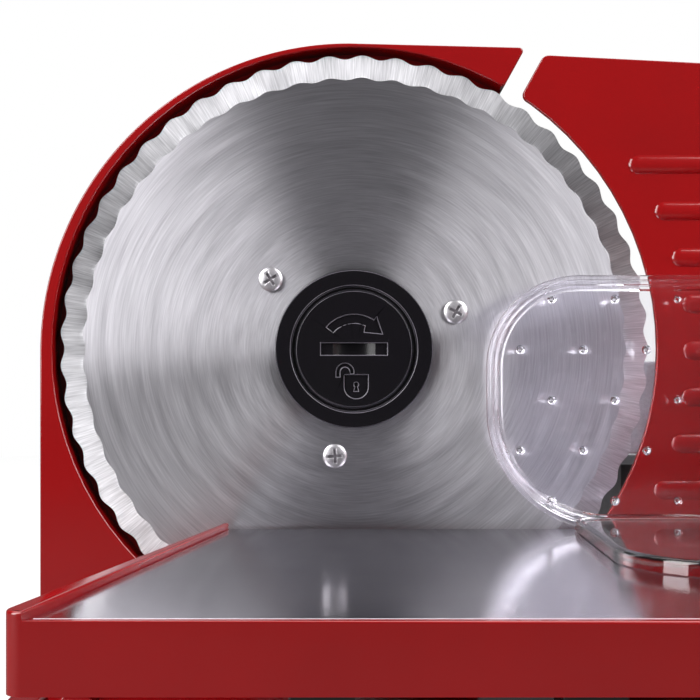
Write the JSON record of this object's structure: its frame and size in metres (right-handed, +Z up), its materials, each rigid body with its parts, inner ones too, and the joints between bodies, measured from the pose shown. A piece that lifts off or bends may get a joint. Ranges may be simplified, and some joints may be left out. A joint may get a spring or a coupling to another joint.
{
  "type": "deli meat slicer",
  "caption": "Home electric food slicer: toothed round blade on a motor tower, sliding steel tray, clear spiked pusher and a ribbed thickness plate.",
  "frame": {"origin": "middle of the footprint, on the table", "axes": "+X along the carriage's travel to the right, +Y to the back, +Z up; the blade turns about Y"},
  "size_m": [0.2692, 0.2352, 0.2483],
  "materials": {
    "red_plastic": "glossy moulded",
    "black_plastic": "satin moulded",
    "blade_steel": "turned, with a ground edge",
    "tray_steel": "satin",
    "shaft_steel": "ground",
    "screw_steel": "plated",
    "motor_iron": "bare sheet iron",
    "carrier_metal": "die cast, satin",
    "bronze": "sintered",
    "copper": "bare",
    "nylon": "moulded",
    "rubber": "matte",
    "clear_plastic": "clear, polished"
  },
  "bodies": {
    "base": {"base_housing": "red_plastic", "bottom_plate": "black_plastic", "foot_front_left": "rubber", "foot_front_right": "rubber", "foot_rear_left": "rubber", "foot_rear_right": "rubber", "carriage_rail_front": "shaft_steel", "carriage_rail_rear": "shaft_steel", "main_housing": "red_plastic", "motor_cover": "red_plastic", "cover_screw_1": "screw_steel", "cover_screw_2": "screw_steel", "cover_screw_3": "screw_steel", "cover_screw_4": "screw_steel", "front_bush": "bronze", "rear_bush": "bronze", "bearing_bridge": "motor_iron", "motor_stator": "motor_iron", "motor_bracket": "motor_iron", "motor_bearing_lower": "bronze", "motor_bearing_middle": "bronze", "motor_bearing_top": "bronze", "brush_front": "copper", "brush_rear": "copper", "plate_guide": "black_plastic", "switch_body": "black_plastic", "cord_inlet": "rubber"},
    "blade": {"blade": "blade_steel", "blade_hub": "black_plastic", "blade_screw_1": "screw_steel", "blade_screw_2": "screw_steel", "blade_screw_3": "screw_steel", "spindle": "shaft_steel", "worm_wheel": "nylon"},
    "blade_lock": {"lock_disc": "black_plastic"},
    "armature": {"motor_shaft": "shaft_steel", "worm": "shaft_steel", "armature_core": "motor_iron", "commutator": "copper", "motor_fan": "nylon"},
    "thickness_slide": {"thickness_plate": "red_plastic", "plate_carrier": "carrier_metal", "guide_rod_left": "shaft_steel", "guide_rod_right": "shaft_steel", "plate_screw": "shaft_steel"},
    "thickness_dial": {"thickness_dial": "black_plastic"},
    "carriage": {"carriage_frame": "red_plastic", "tray_plate": "tray_steel", "carriage_end_wall": "red_plastic", "rail_shoe_front_left": "black_plastic", "rail_shoe_front_right": "black_plastic", "rail_shoe_rear_left": "black_plastic", "rail_shoe_rear_right": "black_plastic"},
    "pusher": {"pusher": "clear_plastic", "pusher_bolt": "shaft_steel", "pusher_grip": "black_plastic"},
    "rocker": {"switch_rocker": "black_plastic"}
  },
  "joints": [
    {"name": "armature_spin", "type": "hinge", "parent": "base", "child": "armature", "pos_m": [-0.07527, 0.07143, 0.15], "axis": [0, 0, 1], "continuous": true},
    {"name": "blade_spin", "type": "hinge", "parent": "base", "child": "blade", "pos_m": [-0.03377, 0.02542, 0.15], "axis": [0, 1, 0], "continuous": true},
    {"name": "blade_lock_turn", "type": "hinge", "parent": "blade", "child": "blade_lock", "pos_m": [-0.03377, 0.02542, 0.15], "axis": [0, 1, 0], "range_deg": [0, 90]},
    {"name": "carriage_travel", "type": "slide", "parent": "base", "child": "carriage", "axis": [1, 0, 0], "range_m": [-0.055, 0.08]},
    {"name": "pusher_travel", "type": "slide", "parent": "carriage", "child": "pusher", "axis": [0, -1, 0], "range_m": [0, 0.045]},
    {"name": "thickness_travel", "type": "slide", "parent": "base", "child": "thickness_slide", "axis": [0, 1, 0], "range_m": [0, 0.015]},
    {"name": "dial_turn", "type": "hinge", "parent": "base", "child": "thickness_dial", "pos_m": [0.09323, 0.10543, 0.082], "axis": [0, 1, 0], "range_deg": [0, 270]},
    {"name": "rocker_tilt", "type": "hinge", "parent": "base", "child": "rocker", "pos_m": [0.08422, -0.09198, 0.028], "axis": [-1, 0, 0], "range_deg": [0, 16]}
  ],
  "couplings": [
    {"joint": "blade_spin", "follows": "armature_spin", "ratio": 0.025},
    {"joint": "dial_turn", "follows": "thickness_travel", "rad_per_m": 314}
  ]
}
